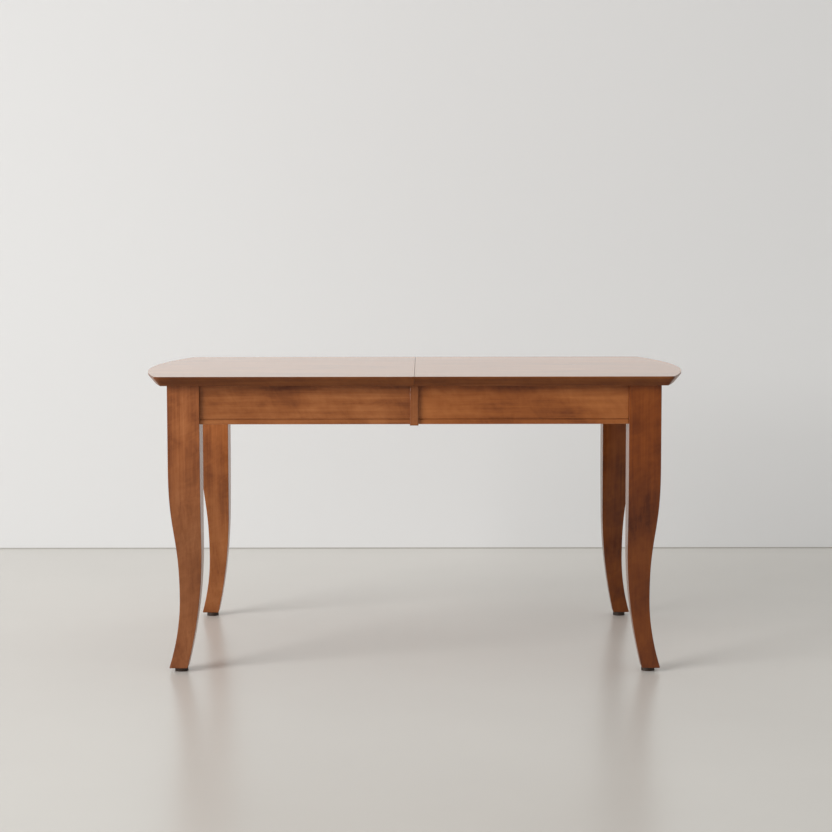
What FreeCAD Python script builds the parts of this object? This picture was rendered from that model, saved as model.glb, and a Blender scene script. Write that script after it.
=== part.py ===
"""Butterfly leaf dining table: two half tables on geared slides, with a folded leaf stored under the top.

X runs along the table, Y across it, Z up. The origin is on the floor under the middle of the top.
The table looks the same after half a turn about Z, so the right half is the left half turned round.
"""
import FreeCAD, Part
import math
import os
import re

doc = FreeCAD.newDocument("butterfly_leaf_table")
sheet = doc.addObject("Spreadsheet::Sheet", "Sizes")

SIZES = [
    ("top_height", 762, "floor to the upper face of the top"),
    ("top_thick", 24, "thickness of the top and of the leaf"),
    ("top_depth", 914, "across the top, front edge to back edge"),
    ("top_edge", 1310, "length of the straight front edge of the closed top"),
    ("end_bow", 61, "how far each end of the top bows out"),
    ("top_corner", 18, "corner radius of the top, in plan"),
    ("edge_lip", 5, "upright lip at the upper edge of the top"),
    ("bevel_run", 16, "how far the under-bevel cuts in below the lip"),
    ("seam_gap", 0.5, "gap between the two halves of the closed top"),
    ("end_overhang", 27, "corner of the top past the outer face of a leg, along the table"),
    ("side_overhang", 36, "edge of the top past the outer face of a leg, across the table"),
    ("leg_size", 82, "side of the square leg under the top"),
    ("knee_height", 525, "height where the outer face starts to curve in"),
    ("ankle_height", 185, "height of the slimmest place on the outer face"),
    ("ankle_in", 24, "how far the ankle lies in from the outer face"),
    ("calf_height", 320, "height where the inner face starts to sweep out"),
    ("toe_in", -2, "how far the toe lies in from the outer face, or out if negative"),
    ("heel_in", 45, "how far the heel lies in from the outer face"),
    ("glide_height", 10, "height of the foot glide"),
    ("glide_radius", 17, "radius of the foot glide"),
    ("apron_height", 100, "height of the aprons"),
    ("apron_thick", 20, "thickness of the aprons"),
    ("apron_setback", 10, "how far an apron lies behind the leg face"),
    ("bead_height", 11, "height of the bead below the apron groove"),
    ("bead_groove", 3, "width and depth of the apron groove"),
    ("strip_width", 22, "width of the strip over the apron seam"),
    ("strip_thick", 9, "thickness of the strip over the apron seam"),
    ("strip_drop", 3, "how far the strip reaches below the apron"),
    ("block_height", 40, "height of a corner block"),
    ("block_thick", 26, "thickness of a corner block"),
    ("block_lift", 10, "corner block above the lower edge of the apron"),
    ("bolt_radius", 4, "radius of a hanger bolt"),
    ("bolt_length", 80, "length of a hanger bolt"),
    ("bolt_in_leg", 40, "length of a hanger bolt inside the leg"),
    ("nut_flats", 14, "width of a hanger bolt's nut across its flats"),
    ("nut_height", 7, "height of a hanger bolt's nut"),
    ("leaf_side_gap", 20.5, "gap between the leaf and the half rail beside it"),
    ("centre_rail_width", 28, "width of a middle slide rail"),
    ("centre_rail_short", 5, "middle rail shorter than the half rails at each end"),
    ("centre_rail_height", 46, "height of a middle slide rail"),
    ("rail_width", 21.5, "width of a half rail"),
    ("rail_height", 48, "height of a half rail"),
    ("rail_end_gap", 55, "gap between a half rail and the end apron"),
    ("rail_lap", 50, "half rail left past the seam when pulled out"),
    ("slide_play", 0.5, "clearance between sliding faces"),
    ("centre_rail_drop", 4, "gap between the top and a middle rail"),
    ("tongue_height", 12, "height of the tongue on a middle rail"),
    ("tongue_depth", 7, "depth of the tongue on a middle rail"),
    ("tongue_lift", 9, "tongue above the lower face of a middle rail"),
    ("gear_module", 3, "module of the equaliser gear"),
    ("gear_teeth", 14, "teeth of the equaliser gear"),
    ("tooth_tip", 2.4, "tooth tip beyond the pitch line"),
    ("tooth_root", 3, "tooth root behind the pitch line"),
    ("gear_thick", 10, "thickness of the equaliser gear"),
    ("gear_lift", 28, "gear above the lower face of a middle rail"),
    ("gear_pin_radius", 4, "radius of the gear's pin"),
    ("gear_play", 0.05, "radial clearance of the gear on its pin"),
    ("rack_back", 4, "rack body behind the tooth roots"),
    ("travel", 250, "how far each half pulls out"),
    ("leaf_width", 457, "width of the leaf along the table"),
    ("leaf_drop", 32, "gap between the top and the folded leaf"),
    ("leaf_play", 0.5, "gap between the two folded halves of the leaf"),
    ("leaf_hinge_width", 16, "width of a leaf hinge's case"),
    ("leaf_hinge_height", 12, "height of a leaf hinge's case"),
    ("leaf_hinge_depth", 30, "depth of a leaf hinge's case in the edge"),
    ("leaf_hinge_spacing", 150, "leaf hinge from the middle of the leaf"),
    ("leaf_link", 3, "thickness of a leaf hinge's link"),
    ("batten_width", 24, "width of a cross batten"),
    ("batten_height", 44, "height of a cross batten"),
    ("batten_gap", 12, "gap between the leaf and a cross batten"),
    ("pivot_radius", 5, "radius of a leaf pivot"),
    ("pivot_plate", 3, "thickness of a leaf pivot's plate"),
    ("rest_height", 14, "height of a leaf rest"),
    ("rest_lap", 22, "how far a leaf rest reaches under the leaf"),
    ("key_width", 30, "width of an alignment key"),
    ("key_thick", 8, "thickness of an alignment key"),
    ("key_reach", 12, "how far an alignment key stands out of the seam"),
    ("key_play", 0.4, "clearance of an alignment key in its slot"),
    ("key_edge", 87, "outer alignment key from the edge of the top"),
    ("key_spacing", 180, "between two alignment keys or slots"),
    ("lock_offset", 110, "table lock from the middle of the table"),
    ("lock_plate", 2.5, "thickness of a lock's plates and lever"),
    ("lock_arm", 58, "distance from a lock's pivot to its keeper"),
    ("lock_width", 20, "width of a lock's lever"),
    ("lock_pivot", 4, "radius of a lock's pivot and keeper post"),
    ("lock_play", 0.8, "clearance of a lock's lever"),
    ("glide_edge", 1, "glide in from the heel"),
    ("overcut", 1, "how far a cutting block reaches past a face"),
    ("leg_seat", 12, "flat on the leg's inner corner for its block"),
    ("strip_round", 2.5, "rounding of the seam strip's front edges"),
    ("rack_start", 26, "reach of a rack from the seam towards its own end"),
    ("pressure_angle", 20, "pressure angle of the gear teeth, in degrees"),
    ("gear_backlash", 0.5, "backlash of the gear teeth at the pitch line"),
    ("rest_length", 300, "length of a leaf rest"),
    ("lock_plate_length", 50, "length of a lock's plates"),
    ("lever_tab", 12, "finger tab on a lock's lever"),
]


def fill_sheet():
    """Writes every size to the sheet, with its alias and what it measures."""
    for row, (alias, value, meaning) in enumerate(SIZES, 1):
        sheet.set(f"A{row}", meaning)
        sheet.set(f"B{row}", str(value))
        sheet.setAlias(f"B{row}", alias)
    doc.recompute()


fill_sheet()
WORK_CELL = f"D{len(SIZES) + 1}"
ALIASES = re.compile(r"\b(" + "|".join(alias for alias, _, _ in SIZES) + r")\b")

# Places that several pieces share, as expressions of the sheet.
UNDER = "(top_height - top_thick)"
HALF_DEEP = "(top_depth / 2)"
LEG_X = "(top_edge / 2 - end_overhang)"
LEG_Y = "(top_depth / 2 - side_overhang)"
APRON_LOW = f"({UNDER} - apron_height)"
BEAD_TOP = f"({APRON_LOW} + bead_height)"
APRON_Y = f"({LEG_Y} - apron_setback)"
APRON_X = f"({LEG_X} - apron_setback)"
SEAM = "(seam_gap / 2)"
RAIL_LOW = f"({UNDER} - rail_height)"
RAIL_FRONT = "(travel + rail_lap)"
RAIL_BACK = f"({APRON_X} - apron_thick - rail_end_gap)"
CENTRE_TOP = f"({UNDER} - centre_rail_drop)"
CENTRE_LOW = f"({CENTRE_TOP} - centre_rail_height)"
TONGUE_LOW = f"({CENTRE_LOW} + tongue_lift)"
GEAR_LOW = f"({CENTRE_LOW} + gear_lift)"
PITCH = "(gear_module * gear_teeth / 2)"
RACK_TIP = f"({PITCH} - tooth_tip)"
RACK_ROOT = f"({PITCH} + tooth_root)"
RACK_BACK = f"({RACK_ROOT} + rack_back)"
NEAR_FACE = "(centre_rail_width / 2 + slide_play)"
FAR_FACE = f"({NEAR_FACE} + rail_width)"
SLIDE_Y = f"({HALF_DEEP} / 2 + leaf_side_gap + {FAR_FACE})"
LEAF_TOP = f"({UNDER} - leaf_drop)"
LEAF_FOLD = f"({LEAF_TOP} - top_thick)"
LEAF_LOW = f"({LEAF_FOLD} - leaf_play - top_thick)"
BATTEN_X = "(leaf_width / 2 + batten_gap)"
PIVOT_Y = f"({HALF_DEEP} / 4)"
KEY_OUTER = f"({HALF_DEEP} - key_edge)"
KEY_INNER = f"({KEY_OUTER} - key_spacing)"


def on_sheet(text):
    """An expression with each size read from the sheet."""
    return ALIASES.sub(r"Sizes.\1", str(text))


def place(item, x, y, z):
    """Binds the three coordinates of an object's place to the sheet."""
    for axis, text in zip("xyz", (x, y, z)):
        item.setExpression(f"Placement.Base.{axis}", on_sheet(text))


def number(text):
    """The number that an expression of sizes gives, worked out by the sheet."""
    sheet.set(WORK_CELL, "=" + on_sheet(text).replace("Sizes.", ""))
    sheet.recompute()
    return float(sheet.get(WORK_CELL))


def box(name, x, y, z):
    """A block between pairs of expressions along X, Y and Z."""
    item = doc.addObject("Part::Box", name)
    for side, (low, high) in zip(("Length", "Width", "Height"), (x, y, z)):
        item.setExpression(side, on_sheet(f"({high}) - ({low})"))
    place(item, x[0], y[0], z[0])
    return item


TURN = {
    "x": FreeCAD.Rotation(FreeCAD.Vector(0, 1, 0), 90),
    "y": FreeCAD.Rotation(FreeCAD.Vector(1, 0, 0), -90),
    "z": FreeCAD.Rotation(),
}


def rod(name, radius, length, start, axis="z"):
    """A round bar from a start point along +X, +Y or +Z."""
    item = doc.addObject("Part::Cylinder", name)
    item.Placement.Rotation = TURN[axis]
    item.setExpression("Radius", on_sheet(radius))
    item.setExpression("Height", on_sheet(length))
    place(item, *start)
    return item


def joined(name, *items):
    """Several touching shapes made into one solid."""
    item = doc.addObject("Part::MultiFuse", name)
    item.Shapes = list(items)
    item.Refine = True
    return item


def group(name, *items):
    """Several separate solids kept together."""
    item = doc.addObject("Part::Compound", name)
    item.Links = list(items)
    return item


def cut(name, base, *tools):
    """A shape with one or more others taken out of it."""
    item = doc.addObject("Part::Cut", name)
    item.Base = base
    item.Tool = tools[0] if len(tools) == 1 else group(name + "_tools", *tools)
    item.Refine = True
    return item


def mirrored(name, item):
    """The same piece on the other side of the table's long middle line."""
    other = doc.addObject("Part::Mirroring", name)
    other.Source = item
    other.Base = FreeCAD.Vector(0, 0, 0)
    other.Normal = FreeCAD.Vector(0, 1, 0)
    return other


def across(name, item):
    """The same piece on the other side of the table's short middle line."""
    other = mirrored(name, item)
    other.Normal = FreeCAD.Vector(1, 0, 0)
    return other


def fixed(name, shape):
    """A shape worked out from the sheet's sizes in code."""
    item = doc.addObject("Part::Feature", name)
    item.Shape = shape
    return item


NODES = {}


def node(label, item):
    """Names a finished piece."""
    item.Label = label
    NODES[label] = item
    return item


HALF_TURN = FreeCAD.Placement(FreeCAD.Vector(0, 0, 0), FreeCAD.Rotation(FreeCAD.Vector(0, 0, 1), 180))


def both_halves(left, right, item):
    """A piece of the left half, and the same piece turned round for the right half."""
    node(left, item)
    other = group("turned_" + left, item)
    other.Placement = HALF_TURN
    node(right, other)


def vector(x, y, z=0.0):
    return FreeCAD.Vector(x, y, z)


def half_top():
    """The left half of the top: straight sides, a bowed end and an under-bevelled edge."""
    seam, reach, deep = number(SEAM), number("top_edge / 2"), number(HALF_DEEP)
    body = doc.addObject("PartDesign::Body", "half_top")
    sketch = body.newObject("Sketcher::SketchObject", "half_top_outline")
    plane = next(item for item in body.Origin.OriginFeatures if item.Role == "XY_Plane")
    sketch.AttachmentSupport = [(plane, "")]
    sketch.MapMode = "FlatFace"
    corners = [vector(-seam, -deep), vector(-reach, -deep), vector(-reach, deep), vector(-seam, deep)]
    middle = vector(-reach - number("end_bow"), 0)
    sketch.addGeometry(Part.LineSegment(corners[0], corners[1]))
    sketch.addGeometry(Part.Arc(corners[1], middle, corners[2]))
    sketch.addGeometry(Part.LineSegment(corners[2], corners[3]))
    sketch.addGeometry(Part.LineSegment(corners[3], corners[0]))
    doc.recompute()
    pad = body.newObject("PartDesign::Pad", "half_top_board")
    pad.Profile = sketch
    pad.setExpression("Length", on_sheet("top_thick"))
    doc.recompute()
    past_seam = number(f"-{SEAM} - overcut")
    spans = [(f"Edge{i}", edge.BoundBox) for i, edge in enumerate(pad.Shape.Edges, 1)]
    upright = [name for name, span in spans if span.ZLength > number("overcut") and span.XMax < past_seam]
    rounding = body.newObject("PartDesign::Fillet", "half_top_corners")
    rounding.Base = (pad, upright)
    rounding.setExpression("Radius", on_sheet("top_corner"))
    doc.recompute()
    spans = [(f"Edge{i}", edge.BoundBox) for i, edge in enumerate(rounding.Shape.Edges, 1)]
    lower = [name for name, span in spans if span.ZMax < number("overcut") and span.XMin < past_seam]
    bevel = body.newObject("PartDesign::Chamfer", "half_top_bevel")
    bevel.Base = (rounding, lower)
    bevel.ChamferType = "Two distances"
    bevel.setExpression("Size", on_sheet("top_thick - edge_lip"))
    bevel.setExpression("Size2", on_sheet("bevel_run"))
    body.Tip = bevel
    place(body, "0", "0", UNDER)
    doc.recompute()
    return body


def leg_profile():
    """Front outline of a leg: distance in from the outer face, and height."""
    top, size, foot = number(UNDER), number("leg_size"), number("glide_height")
    knee, ankle, calf = number("knee_height"), number("ankle_height"), number("calf_height")
    ankle_in, toe, heel = number("ankle_in"), number("toe_in"), number("heel_in")
    sweep = (knee - ankle) / 2

    def curve(*points):
        bezier = Part.BezierCurve()
        bezier.setPoles([vector(x, 0, z) for x, z in points])
        return bezier.toShape()

    def line(start, end):
        return Part.LineSegment(vector(start[0], 0, start[1]), vector(end[0], 0, end[1])).toShape()

    return Part.Wire([
        line((size, top), (0, top)),
        line((0, top), (0, knee)),
        curve((0, knee), (0, knee - sweep), (ankle_in, ankle + sweep), (ankle_in, ankle)),
        curve((ankle_in, ankle), (ankle_in, (ankle + foot) / 2), (toe, foot)),
        line((toe, foot), (heel, foot)),
        curve((heel, foot), (size, (calf + foot) / 2), (size, calf)),
        line((size, calf), (size, top)),
    ])


def leg_blank():
    """A sabre leg sawn to the same outline from the front and from the side, at the front left corner."""
    size, toe = number("leg_size"), number("toe_in")
    from_front = Part.Face(leg_profile()).extrude(vector(0, size - toe, 0))
    from_front.translate(vector(0, toe, 0))
    from_side = from_front.mirror(vector(0, 0, 0), vector(1, -1, 0))
    sawn = from_front.common(from_side)
    sawn.translate(vector(-number(LEG_X), -number(LEG_Y), 0))
    return fixed("leg_blank", sawn)


def corner_prism(name, near, far, low, high):
    """A bar across the front left corner, between two lines at 45 degrees and the apron faces."""
    side, end = number(f"{APRON_Y} - apron_thick"), number(f"{APRON_X} - apron_thick")
    outline = [(near - side, side), (end, near - end), (end, far - end), (far - side, side)]
    points = [vector(-x, -y, low) for x, y in outline]
    face = Part.Face(Part.makePolygon(points + points[:1]))
    return fixed(name, face.extrude(vector(0, 0, high - low)))


def hexagon(name, flats, start, direction, height):
    """A hexagon prism of a width across flats, from a point along a direction."""
    corner = flats / math.sqrt(3)
    side = vector(1, 0) if direction.z else vector(-direction.y, direction.x)
    other = direction.cross(side)
    turns = [math.pi * i / 3 for i in range(6)]
    points = [start + side * (corner * math.cos(a)) + other * (corner * math.sin(a)) for a in turns]
    face = Part.Face(Part.makePolygon(points + points[:1]))
    return fixed(name, face.extrude(direction * height))


def corner_joint():
    """The front left leg, its corner block, hanger bolt, nut and glide."""
    seat = number(f"{LEG_X} + {LEG_Y} - 2 * leg_size + leg_seat")
    width = number("block_thick") * math.sqrt(2)
    low = number(f"{APRON_LOW} + block_lift")
    high = low + number("block_height")
    slope = vector(math.sqrt(0.5), math.sqrt(0.5), 0)
    leg_x, leg_y = number(f"{LEG_X} - leg_size"), number(f"{LEG_Y} - leg_size")
    shift = number("leg_seat") / 2
    seat_point = vector(-leg_x - shift, -leg_y - shift, (low + high) / 2)

    def along(name, radius, start, length):
        shape = Part.makeCylinder(radius, length, seat_point + slope * start, slope)
        return fixed(name, shape)

    bolt = along("hanger_bolt", number("bolt_radius"), -number("bolt_in_leg"), number("bolt_length"))
    nut_start = seat_point + slope * number("block_thick")
    nut_blank = hexagon("nut_blank", number("nut_flats"), nut_start, slope, number("nut_height"))
    nut = cut("hanger_nut", nut_blank, bolt)
    block = cut("corner_block", corner_prism("corner_block_bar", seat, seat - width, low, high), bolt)
    notch_low, notch_high = number(APRON_LOW), number(UNDER)
    notch = corner_prism("leg_seat_notch", seat, seat - width, notch_low, notch_high)
    foot = "heel_in - glide_radius - glide_edge"
    foot_x, foot_y = f"-{LEG_X} + {foot}", f"-{LEG_Y} + {foot}"
    glide = rod("glide", "glide_radius", "glide_height", (foot_x, foot_y, "0"))
    leg = cut("leg", leg_blank(), notch, bolt)
    return leg, block, bolt, nut, glide


def side_apron():
    """The front apron of the left half, with a bead along its lower edge."""
    board = box("side_apron_board", (f"-{LEG_X} + leg_size", f"-{SEAM}"),
                (f"-{APRON_Y}", f"-{APRON_Y} + apron_thick"), (APRON_LOW, UNDER))
    groove = box("side_apron_groove", (f"-{LEG_X}", "0"),
                 (f"-{APRON_Y} - overcut", f"-{APRON_Y} + bead_groove"),
                 (BEAD_TOP, f"{BEAD_TOP} + bead_groove"))
    return cut("side_apron", board, groove)


def end_apron():
    """The apron between the two legs of the left half."""
    reach = f"{LEG_Y} - leg_size"
    board = box("end_apron_board", (f"-{APRON_X}", f"-{APRON_X} + apron_thick"), (f"-({reach})", reach),
                (APRON_LOW, UNDER))
    groove = box("end_apron_groove", (f"-{APRON_X} - overcut", f"-{APRON_X} + bead_groove"),
                 (f"-{LEG_Y}", LEG_Y), (BEAD_TOP, f"{BEAD_TOP} + bead_groove"))
    return cut("end_apron", board, groove)


def seam_strip():
    """The upright strip that hides the seam between the two front aprons."""
    blank = box("seam_strip_blank", ("-strip_width / 2", "strip_width / 2"),
                (f"-{APRON_Y} - strip_thick", f"-{APRON_Y}"), (f"{APRON_LOW} - strip_drop", UNDER))
    doc.recompute()
    behind, low = number(f"-{APRON_Y} - strip_thick / 2"), number(APRON_LOW)
    spans = [(i, edge.BoundBox) for i, edge in enumerate(blank.Shape.Edges, 1)]
    edges = [i for i, span in spans if span.YMax < behind and span.ZMin < low]
    strip = doc.addObject("Part::Fillet", "seam_strip")
    strip.Base = blank
    strip.Edges = [(i, number("strip_round"), number("strip_round")) for i in edges]
    return strip


def half_rail(name, middle):
    """A half rail of the left half, beside the middle rail of one slide set, grooved for tongue and rack."""
    board = box(name + "_board", (f"-{RAIL_BACK}", RAIL_FRONT),
                (f"{middle} - {FAR_FACE}", f"{middle} - {NEAR_FACE}"), (RAIL_LOW, UNDER))
    groove = box(name + "_groove", (f"-{RAIL_BACK} - overcut", f"{RAIL_FRONT} + overcut"),
                 (f"{middle} - centre_rail_width / 2 - tongue_depth - slide_play", f"{middle}"),
                 (f"{TONGUE_LOW} - slide_play", f"{TONGUE_LOW} + tongue_height + slide_play"))
    slot = box(name + "_rack_slot", ("-rack_start", f"{RAIL_FRONT} + overcut"),
               (f"{middle} - {RACK_BACK}", middle), (GEAR_LOW, f"{GEAR_LOW} + gear_thick"))
    return cut(name, board, groove, slot)


def rack(name, middle):
    """A toothed rack seated in a half rail, with a tooth space opposite the gear's middle."""
    pitch = math.pi * number("gear_module")
    lean = math.tan(math.radians(number("pressure_angle")))
    tip, root, back = number(RACK_TIP), number(RACK_ROOT), number(RACK_BACK)
    half = (pitch / 2 - number("gear_backlash")) / 2
    line = number(PITCH)
    start, end = -number("rack_start"), number(RAIL_FRONT)
    points = [vector(start, -back), vector(start, -root)]
    for tooth in range(math.ceil((start + pitch / 2) / pitch), math.floor((end - pitch) / pitch) + 1):
        middle_x = (tooth + 0.5) * pitch
        wide, narrow = half + (root - line) * lean, half - (line - tip) * lean
        points += [vector(middle_x - wide, -root), vector(middle_x - narrow, -tip)]
        points += [vector(middle_x + narrow, -tip), vector(middle_x + wide, -root)]
    points += [vector(end, -root), vector(end, -back)]
    shape = Part.Face(Part.makePolygon(points + points[:1])).extrude(vector(0, 0, number("gear_thick")))
    shape.translate(vector(0, number(middle), number(GEAR_LOW)))
    return fixed(name, shape)


def gear():
    """The equaliser gear of the front slide set: involute teeth, one of them facing each rack."""
    teeth, pitch_radius = int(number("gear_teeth")), number(PITCH)
    base = pitch_radius * math.cos(math.radians(number("pressure_angle")))
    tip, root = pitch_radius + number("tooth_tip"), pitch_radius - number("tooth_root")
    half_tooth = math.pi / 2 / teeth - number("gear_backlash") / 2 / pitch_radius

    def roll(radius):
        angle = math.acos(min(1.0, base / radius))
        return math.tan(angle) - angle

    flank = [base, (base + tip) / 2, tip]
    points = []
    for tooth in range(teeth):
        middle = math.pi / 2 + 2 * math.pi * tooth / teeth
        spread = [(root, half_tooth + roll(pitch_radius))]
        spread += [(radius, half_tooth + roll(pitch_radius) - roll(radius)) for radius in flank]
        rising = [(radius, middle - angle) for radius, angle in spread]
        falling = [(radius, middle + angle) for radius, angle in reversed(spread)]
        points += [vector(r * math.cos(a), r * math.sin(a)) for r, a in rising + falling]
    blank = Part.Face(Part.makePolygon(points + points[:1])).extrude(vector(0, 0, number("gear_thick")))
    blank.translate(vector(0, -number(SLIDE_Y), number(GEAR_LOW)))
    bore = rod("gear_bore", "gear_pin_radius + gear_play", "gear_thick", ("0", f"-{SLIDE_Y}", GEAR_LOW))
    return cut("gear", fixed("gear_blank", blank), bore)


def centre_rail():
    """The middle rail of the front slide set, with a tongue on each side and a window for the gear."""
    half, wide = f"({RAIL_BACK} - centre_rail_short)", "centre_rail_width / 2"
    middle = f"-{SLIDE_Y}"
    bar = box("centre_rail_bar", (f"-{half}", half), (f"{middle} - {wide}", f"{middle} + {wide}"),
              (CENTRE_LOW, CENTRE_TOP))
    tongue = box("centre_rail_tongue", (f"-{half}", half),
                 (f"{middle} - {wide} - tongue_depth", f"{middle} + {wide} + tongue_depth"),
                 (TONGUE_LOW, f"{TONGUE_LOW} + tongue_height"))
    reach = f"({RACK_ROOT} + slide_play)"
    window = box("centre_rail_window", (f"-{reach}", reach), (f"{middle} - {reach}", f"{middle} + {reach}"),
                 (f"{GEAR_LOW} - slide_play", f"{GEAR_LOW} + gear_thick + slide_play"))
    pin = rod("gear_pin", "gear_pin_radius", f"{CENTRE_TOP} - {TONGUE_LOW}", ("0", middle, TONGUE_LOW))
    return cut("centre_rail", joined("centre_rail_section", bar, tongue), window, pin), pin


def leaf_half(name, low, bevel_up):
    """One half of the folded leaf, with the top's under-bevel on the edge that ends up outside."""
    half = "leaf_width / 2"
    board = box(name + "_board", (f"-{half}", half), (f"-{HALF_DEEP} / 2", f"{HALF_DEEP} / 2"),
                (low, f"{low} + top_thick"))
    edge, run, rise = number(f"-{HALF_DEEP} / 2"), number("bevel_run"), number("top_thick - edge_lip")
    base = number(f"{low} + top_thick") if bevel_up else number(low)
    lift = -rise if bevel_up else rise
    reach = number(half)
    points = [vector(-reach, edge, base), vector(-reach, edge + run, base), vector(-reach, edge, base + lift)]
    profile = Part.Face(Part.makePolygon(points + points[:1]))
    wedge = fixed(name + "_bevel", profile.extrude(vector(2 * reach, 0, 0)))
    return cut(name + "_bevelled", board, wedge)


def leaf():
    """The folded leaf: two boards face to face, concealed hinges in one edge, and pivots in its ends."""
    edge = f"({HALF_DEEP} / 2)"
    cases, links = [], []
    half = "leaf_hinge_width / 2"
    low_middle, high_middle = f"{LEAF_LOW} + top_thick / 2", f"{LEAF_FOLD} + top_thick / 2"
    for x in ("-leaf_hinge_spacing", "leaf_hinge_spacing"):
        across_x = (f"{x} - {half}", f"{x} + {half}")
        for middle in (low_middle, high_middle):
            cases.append(box("hinge_case", across_x, (f"{edge} - leaf_hinge_depth", edge),
                             (f"{middle} - leaf_hinge_height / 2", f"{middle} + leaf_hinge_height / 2")))
        links.append(box("hinge_link", across_x, (edge, f"{edge} + leaf_link"),
                         (f"{low_middle} - leaf_hinge_height / 2", f"{high_middle} + leaf_hinge_height / 2")))
    lower = cut("leaf_lower_board", leaf_half("leaf_lower", LEAF_LOW, False), cases[0], cases[2])
    upper = cut("leaf_upper_board", leaf_half("leaf_upper", LEAF_FOLD, True), cases[1], cases[3])
    return lower, upper, cases, links


def leaf_carrier():
    """The left cross batten with its leaf rest and leaf pivot."""
    outer = f"({BATTEN_X} + batten_width)"
    reach = f"({SLIDE_Y} + centre_rail_width / 2)"
    batten = box("batten_bar", (f"-{outer}", f"-{BATTEN_X}"), (f"-{reach}", reach),
                 (f"{CENTRE_LOW} - batten_height", CENTRE_LOW))
    rest = box("leaf_rest", (f"-{BATTEN_X}", "-leaf_width / 2 + rest_lap"),
               ("-rest_length / 2", "rest_length / 2"), (f"{LEAF_LOW} - rest_height", LEAF_LOW))
    plate = box("pivot_plate", ("-leaf_width / 2 - pivot_plate", "-leaf_width / 2"),
                (f"{PIVOT_Y} - top_thick", f"{PIVOT_Y} + top_thick"), (LEAF_LOW, f"{LEAF_LOW} + top_thick"))
    pin = rod("pivot_pin", "pivot_radius", f"{outer} - leaf_width / 2 - pivot_plate",
              (f"-{outer}", PIVOT_Y, f"{LEAF_LOW} + top_thick / 2"), "x")
    return cut("cross_batten", batten, pin), rest, joined("leaf_pivot", plate, pin)


LOCK_LOW = f"({UNDER} - lock_plate)"
LEVER_LOW = f"({LOCK_LOW} - lock_play - lock_plate)"


def lock():
    """A table lock: base and lever on the left half in front, keeper on the left half at the back."""
    long, wide = "(lock_plate_length / 2)", "(lock_width / 2 + lock_play)"
    pivot_x = "-lock_arm / 2"
    stud = "(lock_plate + 2 * lock_play)"
    plates = {}
    for name, y in (("lock_base", "-lock_offset"), ("lock_keeper", "lock_offset")):
        plate = box(name + "_plate", (f"{pivot_x} - {long}", f"{pivot_x} + {long}"),
                    (f"{y} - {wide}", f"{y} + {wide}"), (LOCK_LOW, UNDER))
        shank = rod(name + "_stud", "lock_pivot", stud, (pivot_x, y, f"{LOCK_LOW} - {stud}"))
        plates[name] = [plate, shank]
    head_low = number(f"{LOCK_LOW} - {stud} - lock_plate")
    head_start = vector(number(pivot_x), number("-lock_offset"), head_low)
    flats, height = number("2 * (lock_pivot + lock_plate)"), number("lock_plate")
    plates["lock_base"].append(hexagon("lock_base_head", flats, head_start, vector(0, 0, 1), height))
    base, keeper = (joined(name, *items) for name, items in plates.items())
    start = (pivot_x, "-lock_offset", LEVER_LOW)
    tip = "(-lock_offset + lock_arm + lock_width / 2)"
    bar = box("lever_bar", (f"{pivot_x} - lock_width / 2", f"{pivot_x} + lock_width / 2"),
              ("-lock_offset", tip), (LEVER_LOW, f"{LEVER_LOW} + lock_plate"))
    eye = rod("lever_eye", "lock_width / 2", "lock_plate", start)
    tab = box("lever_tab", (f"{pivot_x} - lock_width / 2", f"{pivot_x} + lock_width / 2"),
              (tip, f"{tip} + lock_plate"), (f"{LEVER_LOW} - lever_tab", f"{LEVER_LOW} + lock_plate"))
    hole = rod("lever_hole", "lock_pivot + gear_play", "lock_plate", start)
    ring_outer = rod("notch_outer", "lock_arm + lock_pivot + lock_play", "lock_plate", start)
    ring_inner = rod("notch_inner", "lock_arm - lock_pivot - lock_play", "lock_plate", start)
    entry = box("notch_entry", (f"{pivot_x} - lock_pivot - lock_play", f"{pivot_x} + lock_width"),
                ("-lock_offset", tip), (LEVER_LOW, f"{LEVER_LOW} + lock_plate"))
    notch = doc.addObject("Part::Common", "lever_notch")
    notch.Base = cut("notch_ring", ring_outer, ring_inner)
    notch.Tool = entry
    return base, keeper, cut("lever", joined("lever_blank", bar, eye, tab), hole, notch)


def alignment_keys():
    """Flat keys in the seam edge of the left half, and the slots for the keys of the right half."""
    level = f"({UNDER} + top_thick / 2)"
    keys, slots = [], []
    for y in (f"-{KEY_OUTER}", KEY_INNER):
        keys.append(box("alignment_key", ("-key_reach", "key_reach"),
                        (f"{y} - key_width / 2", f"{y} + key_width / 2"),
                        (f"{level} - key_thick / 2", f"{level} + key_thick / 2")))
        wide, tall = "(key_width / 2 + key_play)", "(key_thick / 2 + key_play)"
        slots.append(box("key_slot", ("-key_reach - key_play", "overcut"),
                         (f"-({y}) - {wide}", f"-({y}) + {wide}"),
                         (f"{level} - {tall}", f"{level} + {tall}")))
    return keys, slots


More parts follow.
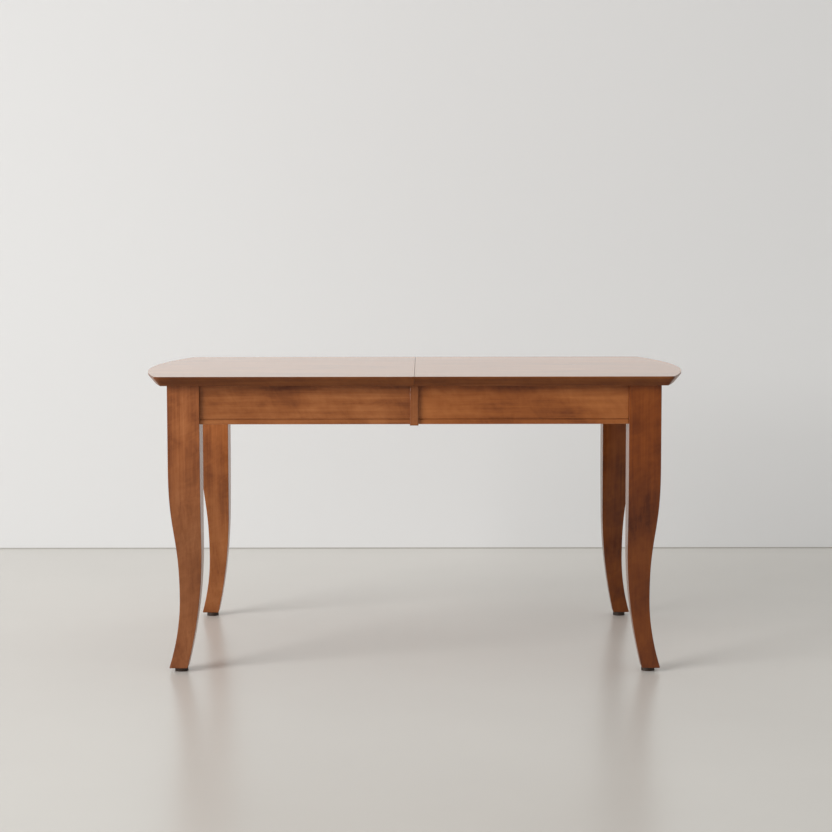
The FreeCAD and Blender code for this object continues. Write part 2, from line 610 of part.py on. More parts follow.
def build():
    keys, slots = alignment_keys()
    both_halves("top_left", "top_right", cut("top_board", half_top(), *keys, *slots))
    both_halves("alignment_keys_left", "alignment_keys_right", group("key_pair", *keys))
    leg, block, bolt, nut, glide = corner_joint()
    both_halves("leg_front_left", "leg_back_right", leg)
    both_halves("leg_back_left", "leg_front_right", mirrored("leg_other", leg))
    pairs = (("corner_blocks", block), ("hanger_bolts", bolt), ("hanger_nuts", nut), ("glides", glide))
    for name, item in pairs:
        both_halves(name + "_left", name + "_right", group(name, item, mirrored(name + "_other", item)))
    apron = side_apron()
    both_halves("side_apron_front_left", "side_apron_back_right", apron)
    both_halves("side_apron_back_left", "side_apron_front_right", mirrored("side_apron_other", apron))
    both_halves("end_apron_left", "end_apron_right", end_apron())
    both_halves("seam_strip_front", "seam_strip_back", seam_strip())
    for side, other, middle in (("front", "back", f"-{SLIDE_Y}"), ("back", "front", SLIDE_Y)):
        both_halves(f"half_rail_{side}_left", f"half_rail_{other}_right", half_rail(f"rail_{side}", middle))
        both_halves(f"rack_{side}_left", f"rack_{other}_right", rack(f"rack_{side}", middle))
    rail, pin = centre_rail()
    both_halves("centre_rail_front", "centre_rail_back", rail)
    both_halves("gear_pin_front", "gear_pin_back", pin)
    both_halves("equaliser_gear_front", "equaliser_gear_back", gear())
    batten, rest, pivot = leaf_carrier()
    node("cross_batten_left", batten)
    node("cross_batten_right", across("batten_other", batten))
    node("leaf_rest_left", rest)
    node("leaf_rest_right", across("rest_other", rest))
    node("leaf_pivots", group("pivots", pivot, across("pivot_other", pivot)))
    lower, upper, cases, links = leaf()
    node("leaf_lower_half", lower)
    node("leaf_upper_half", upper)
    node("leaf_hinge_cases", group("hinge_cases", *cases))
    node("leaf_hinge_links", group("hinge_links", *links))
    base, keeper, lever = lock()
    both_halves("lock_base_left", "lock_base_right", base)
    both_halves("lock_keeper_left", "lock_keeper_right", keeper)
    both_halves("lock_lever_front", "lock_lever_back", lever)


def check_and_write():
    """Stops on a failed piece, then writes every piece to its own file."""
    doc.recompute()
    failed = [item.Name for item in doc.Objects if set(item.State) & {"Invalid", "Error"}]
    failed += [label for label, item in NODES.items() if item.Shape.isNull() or not item.Shape.isValid()]
    if failed:
        raise RuntimeError(f"these pieces failed: {failed}")
    os.makedirs("parts", exist_ok=True)
    for label, item in NODES.items():
        item.Shape.exportStep(f"parts/{label}.step")
        print(label, len(item.Shape.Solids), round(item.Shape.Volume))


build()
check_and_write()
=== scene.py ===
"""Looks of the butterfly leaf table: lacquered wood, slide hardware, floor, light and camera.

Lengths are in metres.
"""
import math

import bmesh
import bpy
from mathutils import Matrix, Vector


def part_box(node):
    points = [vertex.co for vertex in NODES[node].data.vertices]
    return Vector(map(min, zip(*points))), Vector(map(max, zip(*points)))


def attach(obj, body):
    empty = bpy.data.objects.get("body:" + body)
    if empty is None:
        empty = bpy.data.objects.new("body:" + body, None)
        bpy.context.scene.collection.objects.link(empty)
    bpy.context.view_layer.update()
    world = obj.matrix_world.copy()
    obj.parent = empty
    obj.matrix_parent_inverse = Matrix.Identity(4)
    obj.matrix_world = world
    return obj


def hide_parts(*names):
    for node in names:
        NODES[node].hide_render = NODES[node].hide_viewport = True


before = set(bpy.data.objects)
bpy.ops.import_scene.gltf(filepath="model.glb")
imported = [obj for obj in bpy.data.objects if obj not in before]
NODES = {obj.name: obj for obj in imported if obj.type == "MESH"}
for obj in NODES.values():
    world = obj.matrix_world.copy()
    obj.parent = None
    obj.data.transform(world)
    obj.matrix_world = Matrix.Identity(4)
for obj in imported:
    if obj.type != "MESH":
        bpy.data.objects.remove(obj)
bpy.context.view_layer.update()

# Photograph and camera
PHOTO_WIDTH = 832
FOCAL_PIXELS = 2050
SENSOR = 36
CAMERA_PLACE = Vector((0.0238, -5.608, 1.097))
CAMERA_PITCH = 0.0841
CAMERA_YAW = 0.0037
CAMERA_ROLL = -0.0016
VIEW_REACH = 100

# Room
ROOM_REACH = 14.0
WALL_BEHIND = 1.72
WALL_COLOUR = (0.855, 0.862, 0.870)
WALL_ROUGHNESS = 0.8
# A dark strip along the wall's foot: a painted shadow line
WALL_SHADOW_LINE = 0.004
WALL_SHADOW_LINE_COLOUR = (0.50, 0.49, 0.46)
WALL_SHADOW_LINE_ROUGHNESS = 0.9
FLOOR_COLOUR = (0.74, 0.72, 0.68)
FLOOR_PALE = 1.06
FLOOR_CLOUDS = 0.9
FLOOR_DETAIL = 5
FLOOR_ROUGHNESS = 0.27

# Light: an even sky, and a large window in front on the left
SKY_COLOUR = (1.0, 0.985, 0.955)
SKY_LIGHT = 0.50
WINDOW_PLACE = Vector((-6.0, -4.4, 3.3))
WINDOW_TARGET = Vector((0.3, 0.3, 0.6))
WINDOW_SIZE = 4.2
WINDOW_POWER = 140
WINDOW_COLOUR = (1.0, 0.99, 0.98)
WINDOW_SPREAD = math.radians(100)

# Tones of the wood, from dark to light, and their places on the scale of the figure
STAIN = ((0.145, 0.037, 0.010), (0.308, 0.098, 0.027), (0.455, 0.168, 0.055))
BEECH = ((0.40, 0.24, 0.12), (0.54, 0.36, 0.20), (0.65, 0.47, 0.29))
TONE_PLACES = (0.18, 0.50, 0.86)
MIDDLE_TONE = 0.475

# Layers of the figure: scale along and across the grain, detail, roughness, distortion and weight
FIGURE = {
    "smudge": (5, 6, 2, 0.5, 0.6, 0.85),
    "blotch": (11, 22, 4, 0.6, 1.2, 0.42),
    "curl": (46, 16, 3, 0.5, 1.6, 0.26),
    "streak": (1.6, 48, 5, 0.62, 0.5, 0.60),
    "vein": (7, 190, 3, 0.6, 0.0, 0.28),
    "fibre": (9, 520, 2, 0.6, 0.0, 0.16),
}
FLAME_SCALE = (0.7, 10, 10)
FLAME = {"Scale": 1.3, "Distortion": 5.0, "Detail": 2.0, "Detail Scale": 1.4}
FLAME_WEIGHT = 0.10
CURL_TURN = (0, 0.45, 0.6)
GRAIN_TURN = {"x": (0, 0, 0), "y": (0, 0, math.pi / 2), "z": (0, math.pi / 2, 0)}
SHIFT_STEP = 1.37
SHIFT_WAY = (1, 0.7, 0.3)

# Boards glued side by side: each has its own shift and shade, and a calmer figure
BOARD_WIDTH = 0.118
BOARD_SHIFT = 7.0
BOARD_WEIGHT = 0.16
CALM_LAYERS = ("smudge", "blotch", "curl")
CALM_SHARE = 0.6

# A board is coloured darker on its edges than on its broad faces, and a leg has painted shade towards its foot
EDGE_DARK_SHARE = 0.48
EDGE_TILT = 0.85
FACE_TILT = 0.98
FOOT_SHADE = 0.68
FOOT_SHADE_TOP = 0.58
FOOT_SHADE_FULL = 0.34

# Surface of the wood, lacquered or waxed
TOP_LACQUER = 0.9
EDGE_LACQUER = 0.12
FRAME_LACQUER = 0.4
LACQUER = {
    "Coat_Roughness": 0.10, "Specular_IOR_Level": 0.12,
    "Sheen_Weight": 0.15, "Sheen_Roughness": 0.4, "Sheen_Tint": (1.0, 0.72, 0.50, 1),
}
LACQUERED_ROUGHNESS = 0.30
WAXED_ROUGHNESS = 0.52
STREAK_ROUGHNESS = 0.08
LACQUERED_BUMP = 0.06
WAXED_BUMP = 0.18
STREAK_BUMP = 0.6
GRAIN_DEPTH = 0.0004

# Surface of metal and plastic
CLOUD_PLACES = (0.3, 0.7)
CLOUD_DETAIL = 3
METAL_BRUSHING = (900, 60, 900)
METAL_CLOUDS = 70
METAL_DARK = 0.82
METAL_BUMP = 0.10
PLASTIC_GRAIN = (1500, 1500, 1500)
PLASTIC_CLOUDS = 45
PLASTIC_DARK = 0.80
PLASTIC_ROUGHENING = 0.12
PLASTIC_BUMP = 0.08
FINE_DEPTH = 0.0001

# Eased edges of wood
EASED_EDGE = 0.0014
EASED_STEPS = 3
EASED_ANGLE = math.radians(25)
FLAT_ANGLE = math.radians(0.5)
SAME_POINT = 0.00001

# Sabre legs in the solids' sizes: heights, and distances in from the outer faces
LEG_SIZE = 0.082
KNEE_HEIGHT = 0.525
ANKLE_HEIGHT = 0.185
CALF_HEIGHT = 0.320
ANKLE_IN = 0.024
TOE_IN = -0.002
HEEL_IN = 0.045
SEAT_CUT = 0.012
FOOT_EASE = 0.0035
CALF_ROWS = 22
FOOT_ROWS = 12
SHARP_ANGLE = math.radians(35)

# Screws: rows of the head as shares of its radius, with their heights, and the cross recess
SCREW_RADIUS = 0.0038
SCREW_SIDES = 24
SCREW_ROWS = ((0.92, -0.0004), (1.0, 0.0), (0.97, 0.0002), (0.86, 0.0004))
SCREW_TURN = 0.73
RECESS_DEPTH = 0.0007
RECESS_ARM = 0.55
RECESS_HALF = 0.13
RAIL_SCREW_SHARES = (0.08, 0.36, 0.60)
BATTEN_SCREW_SHARES = (0.014, 0.034, 0.966, 0.986)
BLOCK_SCREW_SHARE = 0.32
BLOCK_FACE_DEPTH = 0.001
PLATE_THICK = 0.0025
PLATE_SCREW_IN = 0.007
PLATE_SCREW_GAP = 0.012


def shaded(colour, share):
    """A colour made darker or paler."""
    return tuple(part * share for part in colour)


class Shader:
    """A material's node tree, with short ways to add nodes and to join them."""

    def __init__(self, name):
        self.material = bpy.data.materials.new(name)
        self.material.use_nodes = True
        self.tree = self.material.node_tree
        self.surface = self.tree.nodes["Principled BSDF"]

    def put(self, socket, value):
        if isinstance(value, bpy.types.NodeSocket):
            self.tree.links.new(value, socket)
        else:
            socket.default_value = value

    def add(self, kind, inputs=(), **settings):
        node = self.tree.nodes.new(kind)
        for key, value in settings.items():
            setattr(node, key, value)
        for key, value in dict(inputs).items():
            self.put(node.inputs[key], value)
        return node

    def space(self):
        return self.add("ShaderNodeTexCoord").outputs["Object"]

    def sums(self, operation, first, second=0.0, third=0.0):
        node = self.add("ShaderNodeMath", {0: first, 1: second, 2: third}, operation=operation)
        return node.outputs[0]

    def mapped(self, vector, scale=(1, 1, 1), place=(0, 0, 0), turn=(0, 0, 0)):
        inputs = {"Vector": vector, "Scale": scale, "Location": place, "Rotation": turn}
        return self.add("ShaderNodeMapping", inputs).outputs[0]

    def noise(self, vector, detail, roughness=0.5, distortion=0.0):
        inputs = {
            "Vector": vector, "Scale": 1.0, "Detail": detail, "Roughness": roughness, "Distortion": distortion,
        }
        return self.add("ShaderNodeTexNoise", inputs).outputs["Fac"]

    def ramp(self, value, places, colours):
        node = self.add("ShaderNodeValToRGB", {"Fac": value})
        elements = node.color_ramp.elements
        while len(elements) < len(places):
            elements.new(0.5)
        for element, place, colour in zip(elements, places, colours):
            element.position = place
            element.color = (*colour, 1)
        return node.outputs["Color"]

    def clouds(self, scale, detail, first, second):
        cloud = self.noise(self.mapped(self.space(), scale=(scale, scale, scale)), detail)
        return self.ramp(cloud, CLOUD_PLACES, (first, second))

    def bump(self, height, strength, distance):
        node = self.add("ShaderNodeBump", {"Height": height, "Strength": strength, "Distance": distance})
        self.put(self.surface.inputs["Normal"], node.outputs[0])

    def set(self, **inputs):
        for key, value in inputs.items():
            self.put(self.surface.inputs[key.replace("_", " ")], value)


def grain_space(shader, grain, shift, boards):
    """Object coordinates with the grain along X, shifted so that no two pieces share their figure."""
    place = [shift * part for part in SHIFT_WAY]
    space = shader.mapped(shader.space(), turn=GRAIN_TURN[grain], place=place)
    if not boards:
        return space, None
    parts = shader.add("ShaderNodeSeparateXYZ", {0: space}).outputs
    row = shader.sums("FLOOR", shader.sums("DIVIDE", parts["Y"], BOARD_WIDTH))
    chance = shader.add("ShaderNodeTexWhiteNoise", {"W": row}, noise_dimensions="1D").outputs["Value"]
    along = shader.sums("MULTIPLY_ADD", chance, BOARD_SHIFT, parts["X"])
    space = shader.add("ShaderNodeCombineXYZ", {"X": along, "Y": parts["Y"], "Z": parts["Z"]}).outputs[0]
    return space, chance


def figure(shader, space):
    """Layers of the wood's figure, by name."""
    layers = {}
    for name, (along, across, detail, roughness, distortion, _) in FIGURE.items():
        way = shader.mapped(space, turn=CURL_TURN) if name == "curl" else space
        scaled = shader.mapped(way, scale=(along, across, across))
        layers[name] = shader.noise(scaled, detail, roughness, distortion)
    inputs = {"Vector": shader.mapped(space, scale=FLAME_SCALE), **FLAME}
    layers["flame"] = shader.add("ShaderNodeTexWave", inputs, bands_direction="Y").outputs["Fac"]
    return layers


def edge_share(shader):
    """1 on the broad faces of a board and 0 on its edges."""
    normal = shader.add("ShaderNodeTexCoord").outputs["Normal"]
    flat = shader.sums("ABSOLUTE", shader.add("ShaderNodeSeparateXYZ", {0: normal}).outputs["Z"])
    inputs = {"Value": flat, "From Min": EDGE_TILT, "From Max": FACE_TILT}
    return shader.add("ShaderNodeMapRange", inputs).outputs[0]


def painted_foot_shading(shader):
    """1 above a leg's knee, and less towards the foot, where painted shade makes it darker."""
    height = shader.add("ShaderNodeSeparateXYZ", {0: shader.space()}).outputs["Z"]
    inputs = {
        "Value": height, "From Min": FOOT_SHADE_FULL, "From Max": FOOT_SHADE_TOP, "To Min": FOOT_SHADE,
    }
    return shader.add("ShaderNodeMapRange", inputs).outputs[0]


def wood(name, tones, grain, shift, tint, boards, lacquer):
    """Wood with smudges, curl, streaks and fine fibres along the grain, under satin lacquer or waxed."""
    shader = Shader(name)
    space, chance = grain_space(shader, grain, shift, boards)
    layers = figure(shader, space)
    weights = {layer: values[-1] for layer, values in FIGURE.items()}
    weights["flame"] = FLAME_WEIGHT
    if boards:
        layers["board"] = chance
        weights["board"] = BOARD_WEIGHT
        for layer in CALM_LAYERS:
            weights[layer] *= CALM_SHARE
    tone = MIDDLE_TONE
    for layer, value in layers.items():
        tone = shader.sums("MULTIPLY_ADD", shader.sums("SUBTRACT", value, 0.5), weights[layer], tone)
    colour = shader.ramp(tone, TONE_PLACES, tones)
    if boards:
        broad = edge_share(shader)
        # Darker on a board's edges than on its broad faces
        darkening = shader.sums("MULTIPLY_ADD", broad, 1.0 - EDGE_DARK_SHARE, EDGE_DARK_SHARE)
    else:
        # Painted shade, darker towards a leg's foot
        darkening = painted_foot_shading(shader)
    # Painted light and shade of the piece, from its tint
    colour = shader.add("ShaderNodeVectorMath", {0: colour, 1: tint}, operation="MULTIPLY").outputs[0]
    colour = shader.add("ShaderNodeVectorMath", {0: colour, "Scale": darkening}, operation="SCALE").outputs[0]
    roughness = LACQUERED_ROUGHNESS if lacquer else WAXED_ROUGHNESS
    roughness = shader.sums("MULTIPLY_ADD", layers["streak"], STREAK_ROUGHNESS, roughness)
    shader.set(Base_Color=colour, Roughness=roughness)
    height = shader.sums("MULTIPLY_ADD", layers["streak"], STREAK_BUMP, layers["fibre"])
    shader.bump(height, LACQUERED_BUMP if lacquer else WAXED_BUMP, GRAIN_DEPTH)
    if lacquer:
        shader.set(Coat_Weight=lacquer, **LACQUER)
    if lacquer and boards:
        shader.set(Coat_Weight=shader.sums("MULTIPLY_ADD", broad, lacquer - EDGE_LACQUER, EDGE_LACQUER))
    return shader.material


def metal(name, colour, roughness, scratch):
    """Plated metal with fine brushing and a little unevenness."""
    shader = Shader(name)
    brushing = shader.noise(shader.mapped(shader.space(), scale=METAL_BRUSHING), 2)
    clouds = shader.clouds(METAL_CLOUDS, CLOUD_DETAIL, shaded(colour, METAL_DARK), colour)
    shader.set(Base_Color=clouds, Metallic=1.0)
    shader.set(Roughness=shader.sums("MULTIPLY_ADD", brushing, scratch, roughness))
    shader.bump(brushing, METAL_BUMP, FINE_DEPTH)
    return shader.material


def plastic(name, colour, roughness):
    """Moulded plastic with a fine grain and slight shade differences."""
    shader = Shader(name)
    grain = shader.noise(shader.mapped(shader.space(), scale=PLASTIC_GRAIN), 1)
    shader.set(Base_Color=shader.clouds(PLASTIC_CLOUDS, CLOUD_DETAIL, shaded(colour, PLASTIC_DARK), colour))
    shader.set(Roughness=shader.sums("MULTIPLY_ADD", grain, PLASTIC_ROUGHENING, roughness))
    shader.bump(grain, PLASTIC_BUMP, FINE_DEPTH)
    return shader.material


STEEL = metal("zinc_plated_steel", (0.62, 0.62, 0.63), 0.30, 0.20)
BRASS = metal("satin_brass", (0.72, 0.52, 0.24), 0.28, 0.18)
NYLON = plastic("white_nylon", (0.78, 0.77, 0.72), 0.42)
GLIDE = plastic("dark_glide", (0.034, 0.017, 0.009), 0.52)

# Beginning of a node's name, then its material, or a wood: tones, way of the grain, boards or not, lacquer
FINISHES = [
    ("top_", (STAIN, "x", True, TOP_LACQUER)),
    ("leaf_lower_half", (STAIN, "x", True, TOP_LACQUER)),
    ("leaf_upper_half", (STAIN, "x", True, TOP_LACQUER)),
    ("leg_", (STAIN, "z", False, FRAME_LACQUER)),
    ("side_apron_", (STAIN, "x", False, FRAME_LACQUER)),
    ("end_apron_", (STAIN, "y", False, FRAME_LACQUER)),
    ("seam_strip_", (STAIN, "z", False, FRAME_LACQUER)),
    ("corner_blocks_", (BEECH, "y", False, 0.0)),
    ("half_rail_", (BEECH, "x", False, 0.0)),
    ("centre_rail_", (BEECH, "x", False, 0.0)),
    ("cross_batten_", (BEECH, "y", False, 0.0)),
    ("leaf_rest_", (BEECH, "y", False, 0.0)),
    ("alignment_keys_", BRASS),
    ("leaf_hinge_cases", BRASS),
    ("rack_", NYLON),
    ("equaliser_gear_", NYLON),
    ("glides_", GLIDE),
    ("", STEEL),
]

# Painted light and shade on some pieces, as shares of their red, green and blue: the right legs darker and the
# back left leg paler where less or more light falls, and the tops paler and warmer for a painted warm
# reflection
PAINTED_LIGHT_TINT = {
    "leg_front_left": (1.06, 1.07, 1.20),
    "leg_back_left": (1.38, 1.38, 1.38),
    "leg_front_right": (0.68, 0.50, 0.24),
    "leg_back_right": (0.80, 0.62, 0.28),
    "side_apron_front_left": (0.97, 0.97, 0.97),
    "side_apron_front_right": (0.98, 0.92, 0.78),
    "seam_strip_front": (0.80, 0.78, 0.82),
    "top_left": (1.20, 1.12, 1.00),
    "top_right": (1.16, 1.06, 0.92),
}
PLAIN_TINT = (1, 1, 1)


def dress(node, number):
    """Gives a node its finish, with eased edges on wood."""
    finish = next(finish for start, finish in FINISHES if node.startswith(start))
    piece = NODES[node]
    piece.data.materials.clear()
    if isinstance(finish, bpy.types.Material):
        piece.data.materials.append(finish)
        return
    tones, grain, boards, lacquer = finish
    # Painted light and shade of the piece, as a tint of its wood
    tint = PAINTED_LIGHT_TINT.get(node, PLAIN_TINT)
    material = wood("wood_" + node, tones, grain, SHIFT_STEP * number, tint, boards, lacquer)
    piece.data.materials.append(material)
    weld = piece.modifiers.new("weld", "WELD")
    weld.merge_threshold = SAME_POINT
    flat = piece.modifiers.new("flat_faces", "DECIMATE")
    flat.decimate_type = "DISSOLVE"
    flat.angle_limit = FLAT_ANGLE
    bevel = piece.modifiers.new("eased_edges", "BEVEL")
    bevel.width = EASED_EDGE
    bevel.segments = EASED_STEPS
    bevel.limit_method = "ANGLE"
    bevel.angle_limit = EASED_ANGLE
    bevel.harden_normals = True


def bridge(mesh, lower, upper):
    """Faces between two closed rings of the same count."""
    for i, point in enumerate(lower):
        j = (i + 1) % len(lower)
        mesh.faces.new((point, lower[j], upper[j], upper[i]))


def new_piece(name, mesh, material):
    """An object of a finished mesh, in one material."""
    data = bpy.data.meshes.new(name)
    mesh.to_mesh(data)
    mesh.free()
    data.materials.append(material)
    piece = bpy.data.objects.new(name, data)
    bpy.context.scene.collection.objects.link(piece)
    return piece


def leg_rows(foot, seat, top):
    """Rows down a leg: its height, how far its outer and inner faces lie in, and the cut of its seat."""

    def outer(height):
        part = (ANKLE_HEIGHT - height) / (ANKLE_HEIGHT - foot)
        return ANKLE_IN + (TOE_IN - ANKLE_IN) * part ** 2

    def inner(height):
        part = min((height - foot) / (CALF_HEIGHT - foot), 1)
        return LEG_SIZE - (LEG_SIZE - HEEL_IN) * (1 - part) ** 2

    rows = [(top, 0, LEG_SIZE, SEAT_CUT), (seat, 0, LEG_SIZE, SEAT_CUT), (seat, 0, LEG_SIZE, 0)]
    middle = (KNEE_HEIGHT + ANKLE_HEIGHT) / 2
    half = (KNEE_HEIGHT - ANKLE_HEIGHT) / 2
    for step in range(CALF_ROWS + 1):
        share = step / CALF_ROWS
        height = middle + half * ((1 - share) ** 3 - share ** 3)
        rows.append((height, ANKLE_IN * share ** 2 * (3 - 2 * share), inner(height), 0))
    for step in range(1, FOOT_ROWS + 1):
        height = ANKLE_HEIGHT + (foot + FOOT_EASE - ANKLE_HEIGHT) * step / FOOT_ROWS
        rows.append((height, outer(height), inner(height), 0))
    for step in range(1, EASED_STEPS + 1):
        turn = math.pi / 2 * step / EASED_STEPS
        height = foot + FOOT_EASE * (1 - math.sin(turn))
        inset = FOOT_EASE * (1 - math.cos(turn))
        rows.append((height, outer(height) + inset, inner(height) - inset, 0))
    return rows


def leg_section(outer, inner, cut):
    """Points round a leg, measured in from its outer corner, with eased edges and the cut of its seat."""
    low = outer + EASED_EDGE
    high = inner - EASED_EDGE
    points = []
    for corner, (x, y) in enumerate([(low, low), (high, low), (high, high), (low, high)]):
        for step in range(EASED_STEPS + 1):
            share = step / EASED_STEPS
            turn = math.pi / 2 * (corner + 2 + share)
            if cut and corner == 2:
                points.append((inner - cut * share, inner - cut * (1 - share)))
            else:
                points.append((x + EASED_EDGE * math.cos(turn), y + EASED_EDGE * math.sin(turn)))
    return points


def sabre_leg(node, body):
    """A leg in even rows, in the place of its solid."""
    low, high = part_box(node)
    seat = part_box("side_apron_front_left")[0][2]
    to_x, to_y = (-1 if low[i] > 0 else 1 for i in (0, 1))
    edge_x, edge_y = ((high if low[i] > 0 else low)[i] for i in (0, 1))
    mesh = bmesh.new()
    rings = []
    for height, outer, inner, cut in leg_rows(low[2], seat, high[2]):
        points = [(x - TOE_IN, y - TOE_IN) for x, y in leg_section(outer, inner, cut)]
        rings.append([mesh.verts.new((edge_x + to_x * x, edge_y + to_y * y, height)) for x, y in points])
    for upper, lower in zip(rings, rings[1:]):
        bridge(mesh, lower, upper)
    mesh.faces.new(rings[0])
    mesh.faces.new(rings[-1])
    bmesh.ops.remove_doubles(mesh, verts=mesh.verts, dist=SAME_POINT)
    bmesh.ops.recalc_face_normals(mesh, faces=mesh.faces)
    for face in mesh.faces:
        face.smooth = True
    piece = new_piece("sabre_" + node, mesh, NODES[node].data.materials[0])
    piece.data.set_sharp_from_angle(angle=SHARP_ANGLE)
    shading = piece.modifiers.new("even_shading", "WEIGHTED_NORMAL")
    shading.keep_sharp = True
    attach(piece, body)
    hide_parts(node)


def ring(mesh, radius, height):
    """A closed ring of points round the Z axis."""
    turns = [2 * math.pi * i / SCREW_SIDES for i in range(SCREW_SIDES)]
    return [mesh.verts.new((radius * math.cos(a), radius * math.sin(a), height)) for a in turns]


def cross(mesh, height):
    """The outline of a cross recess, as a closed ring of points."""
    arm = SCREW_RADIUS * RECESS_ARM
    half = SCREW_RADIUS * RECESS_HALF
    corners = []
    for turn in range(4):
        for x, y in [(arm, -half), (arm, half), (half, half)]:
            for _ in range(turn):
                x, y = -y, x
            corners.append(mesh.verts.new((x, y, height)))
    return corners


def screw_head():
    """A countersunk screw head with a cross recess, looking along Z, its seat at the origin."""
    mesh = bmesh.new()
    rows = [ring(mesh, SCREW_RADIUS * share, height) for share, height in SCREW_ROWS]
    for lower, upper in zip(rows, rows[1:]):
        bridge(mesh, lower, upper)
    face_height = SCREW_ROWS[-1][1]
    mouth = cross(mesh, face_height)
    floor = cross(mesh, face_height - RECESS_DEPTH)
    bridge(mesh, floor, mouth)
    mesh.faces.new(floor)
    mesh.faces.new(reversed(rows[0]))
    rims = [mesh.edges.get((loop[i - 1], loop[i])) for loop in (rows[-1], mouth) for i in range(len(loop))]
    bmesh.ops.triangle_fill(mesh, edges=rims, use_beauty=True)
    bmesh.ops.recalc_face_normals(mesh, faces=mesh.faces)
    return mesh


def screws(body, places):
    """The screw heads that a body carries: each a point on a face, and the way the face looks."""
    total = bmesh.new()
    for count, (point, way) in enumerate(places):
        head = screw_head()
        aim = Vector(way).to_track_quat("Z", "Y").to_matrix().to_4x4()
        turn = aim @ Matrix.Rotation(SCREW_TURN * count, 4, "Z")
        head.transform(Matrix.Translation(point) @ turn)
        data = bpy.data.meshes.new("screw")
        head.to_mesh(data)
        total.from_mesh(data)
        bpy.data.meshes.remove(data)
        head.free()
    piece = new_piece("screws_" + body, total, STEEL)
    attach(piece, body)


def below(node, shares):
    """Screw places on the lower face of a node, at shares of its length and width."""
    low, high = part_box(node)
    for along, across in shares:
        x = low[0] + (high[0] - low[0]) * along
        y = low[1] + (high[1] - low[1]) * across
        yield Vector((x, y, low[2])), (0, 0, -1)


def on_plate(node):
    """Two screw places on a lock's plate, on the side away from the seam."""
    low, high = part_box(node)
    x = low[0] + PLATE_SCREW_IN if high[0] < 0 else high[0] - PLATE_SCREW_IN
    middle = (low[1] + high[1]) / 2
    for y in (middle - PLATE_SCREW_GAP / 2, middle + PLATE_SCREW_GAP / 2):
        yield Vector((x, y, high[2] - PLATE_THICK)), (0, 0, -1)


def on_blocks(node):
    """Two screw places on the slanted face of each corner block."""
    points = [vertex.co for vertex in NODES[node].data.vertices]
    for side in (-1, 1):
        block = [point for point in points if point.y * side > 0]
        way = Vector((-math.copysign(1, block[0].x), -side, 0)).normalized()
        front = max(point.dot(way) for point in block)
        face = [point for point in block if point.dot(way) > front - BLOCK_FACE_DEPTH]
        along = way.cross(Vector((0, 0, 1)))
        reach = max(point.dot(along) for point in face) - min(point.dot(along) for point in face)
        middle = sum(face, Vector()) / len(face)
        for share in (-BLOCK_SCREW_SHARE, BLOCK_SCREW_SHARE):
            yield middle + along * (reach * share), tuple(way)


def all_screws():
    """Screws that hold the rails, locks, corner blocks and battens."""
    for side in ("left", "right"):
        places = []
        for node in (f"half_rail_front_{side}", f"half_rail_back_{side}"):
            places += below(node, [(along, 0.5) for along in RAIL_SCREW_SHARES])
        places += on_plate(f"lock_base_{side}")
        places += on_plate(f"lock_keeper_{side}")
        places += on_blocks(f"corner_blocks_{side}")
        screws(f"{side}_half", places)
    places = []
    for node in ("cross_batten_left", "cross_batten_right"):
        places += below(node, [(0.5, across) for across in BATTEN_SCREW_SHARES])
    screws("carriage", places)


def clear_from_behind(shader):
    """Lets a view from below the floor or from behind the wall pass through."""
    behind = shader.add("ShaderNodeNewGeometry").outputs["Backfacing"]
    clear = shader.add("ShaderNodeBsdfTransparent").outputs[0]
    mixed = shader.add("ShaderNodeMixShader", {0: behind, 1: shader.surface.outputs[0], 2: clear})
    shader.put(shader.tree.nodes["Material Output"].inputs["Surface"], mixed.outputs[0])


def floor_material():
    """Pale polished concrete, almost plain."""
    shader = Shader("pale_floor")
    pale = shaded(FLOOR_COLOUR, FLOOR_PALE)
    shader.set(Base_Color=shader.clouds(FLOOR_CLOUDS, FLOOR_DETAIL, FLOOR_COLOUR, pale))
    shader.set(Roughness=FLOOR_ROUGHNESS)
    clear_from_behind(shader)
    return shader.material


def wall_material(name, colour, roughness):
    """One plain colour."""
    shader = Shader(name)
    shader.set(Base_Color=(*colour, 1), Roughness=roughness)
    clear_from_behind(shader)
    return shader.material


def sheet(name, corners, material):
    """A flat sheet through four corners, for the room."""
    mesh = bpy.data.meshes.new(name)
    mesh.from_pydata(corners, [], [tuple(range(len(corners)))])
    piece = bpy.data.objects.new(name, mesh)
    piece.data.materials.append(material)
    bpy.context.scene.collection.objects.link(piece)


def upright(name, place, height, material):
    """A sheet across the room that stands on the floor."""
    far = ROOM_REACH
    sheet(name, [(-far, place, 0), (far, place, 0), (far, place, height), (-far, place, height)], material)


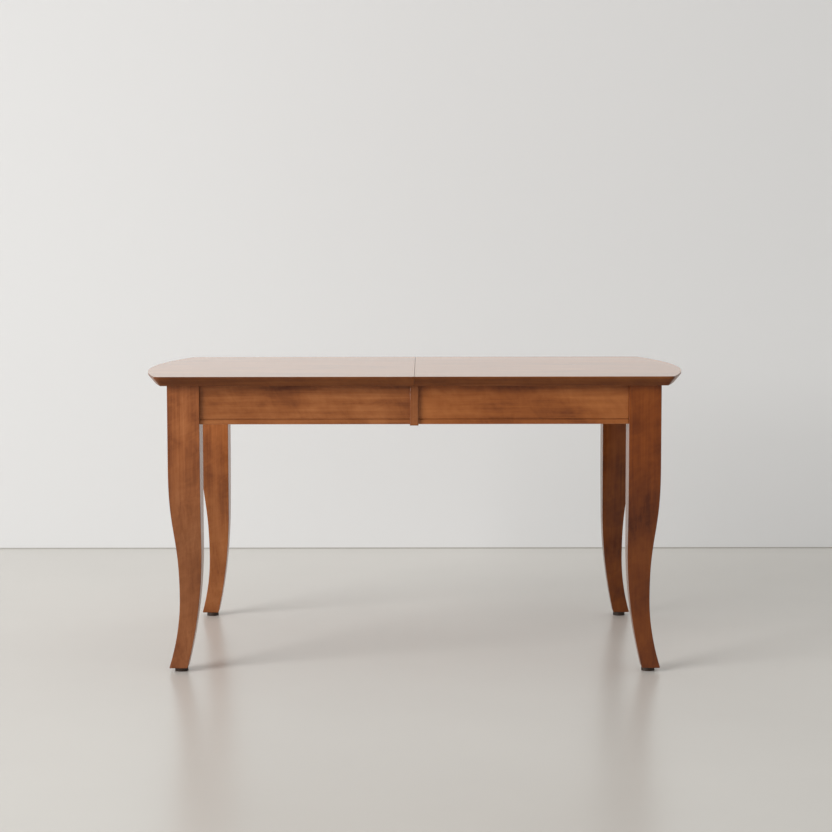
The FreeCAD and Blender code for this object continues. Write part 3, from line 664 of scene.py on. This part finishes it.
def room():
    """Floor, back wall and a dark strip along the wall's foot as a painted shadow line."""
    far = ROOM_REACH
    sheet("floor", [(-far, -far, 0), (far, -far, 0), (far, far, 0), (-far, far, 0)], floor_material())
    upright("wall", WALL_BEHIND, far, wall_material("pale_wall", WALL_COLOUR, WALL_ROUGHNESS))
    # A painted shadow line at the wall's foot
    foot = wall_material("painted_wall_shadow", WALL_SHADOW_LINE_COLOUR, WALL_SHADOW_LINE_ROUGHNESS)
    upright("painted_wall_shadow", WALL_BEHIND - WALL_SHADOW_LINE / 2, WALL_SHADOW_LINE, foot)


def sky():
    """Even pale light from all round."""
    world = bpy.data.worlds.new("studio")
    bpy.context.scene.world = world
    world.use_nodes = True
    light = world.node_tree.nodes["Background"]
    light.inputs["Color"].default_value = (*SKY_COLOUR, 1)
    light.inputs["Strength"].default_value = SKY_LIGHT


def window():
    """A large soft light that looks at the table."""
    data = bpy.data.lights.new("window", "AREA")
    data.shape = "RECTANGLE"
    data.size = WINDOW_SIZE
    data.size_y = WINDOW_SIZE
    data.spread = WINDOW_SPREAD
    data.energy = WINDOW_POWER
    data.color = WINDOW_COLOUR
    light = bpy.data.objects.new("window", data)
    light.location = WINDOW_PLACE
    light.rotation_euler = (WINDOW_TARGET - WINDOW_PLACE).to_track_quat("-Z", "Y").to_euler()
    bpy.context.scene.collection.objects.link(light)


def camera():
    """The photograph's viewpoint."""
    data = bpy.data.cameras.new("camera")
    data.sensor_width = SENSOR
    data.lens = FOCAL_PIXELS / PHOTO_WIDTH * SENSOR
    data.clip_end = VIEW_REACH
    eye = bpy.data.objects.new("camera", data)
    turn = Matrix.Rotation(CAMERA_YAW, 4, "Z") @ Matrix.Rotation(math.pi / 2 - CAMERA_PITCH, 4, "X")
    turn = turn @ Matrix.Rotation(CAMERA_ROLL, 4, "Z")
    eye.matrix_world = Matrix.Translation(CAMERA_PLACE) @ turn
    bpy.context.scene.collection.objects.link(eye)
    bpy.context.scene.camera = eye


for count, node_name in enumerate(sorted(NODES)):
    dress(node_name, count)
for leg_side in ("left", "right"):
    for leg_end in ("front", "back"):
        sabre_leg(f"leg_{leg_end}_{leg_side}", f"{leg_side}_half")
all_screws()
room()
sky()
window()
camera()
bpy.context.scene.view_settings.view_transform = "Standard"
